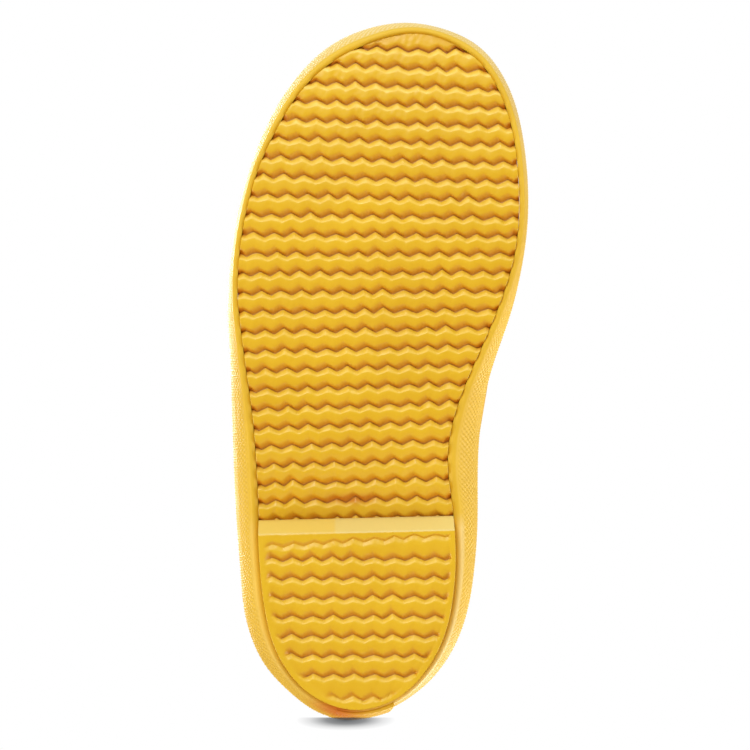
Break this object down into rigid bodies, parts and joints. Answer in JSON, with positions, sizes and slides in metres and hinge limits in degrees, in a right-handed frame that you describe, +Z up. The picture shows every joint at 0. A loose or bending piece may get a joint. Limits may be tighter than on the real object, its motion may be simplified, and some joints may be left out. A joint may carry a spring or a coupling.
{
  "type": "rubber deck boot",
  "caption": "Child's right-foot rubber deck boot: zigzag-grooved sole with a separate heel block, knurled foxing band, tall pull-on leg and a webbing pull loop.",
  "frame": {"origin": "middle of the boot's footprint, on the ground", "axes": "+X to the toe, +Y to the inner side of the foot, +Z up along the leg"},
  "size_m": [0.1854, 0.0787, 0.2146],
  "materials": {
    "sole_rubber": "satin natural rubber",
    "foxing_rubber": "satin, knurled on the foxing",
    "upper_rubber": "smooth, semi-gloss",
    "stiffener": "matte",
    "knitted_lining": "fine knit",
    "sponge": "open cell",
    "spring_steel": "rolled strip",
    "board": "pressed fibre",
    "footbed_foam": "closed-cell foam",
    "webbing": "plain weave"
  },
  "bodies": {
    "boot": {"outsole": "sole_rubber", "heel_block": "sole_rubber", "foxing_band": "foxing_rubber", "foxing_patch": "foxing_rubber", "foot_upper": "upper_rubber", "leg_upper": "upper_rubber", "toe_cap": "upper_rubber", "back_strip": "foxing_rubber", "collar_band": "foxing_rubber", "toe_puff": "stiffener", "heel_counter": "stiffener", "lining": "knitted_lining", "midsole": "sponge", "shank": "spring_steel", "insole_board": "board", "footbed": "footbed_foam", "footbed_cover": "knitted_lining", "loop_anchor": "webbing"},
    "loop": {"pull_loop": "webbing"}
  },
  "joints": [
    {"name": "loop_fold", "type": "hinge", "parent": "boot", "child": "loop", "pos_m": [-0.0857, -0.0042, 0.1926], "axis": [0, 1, 0], "range_deg": [-75, 60], "stiffness_Nm_per_rad": 0.004}
  ]
}
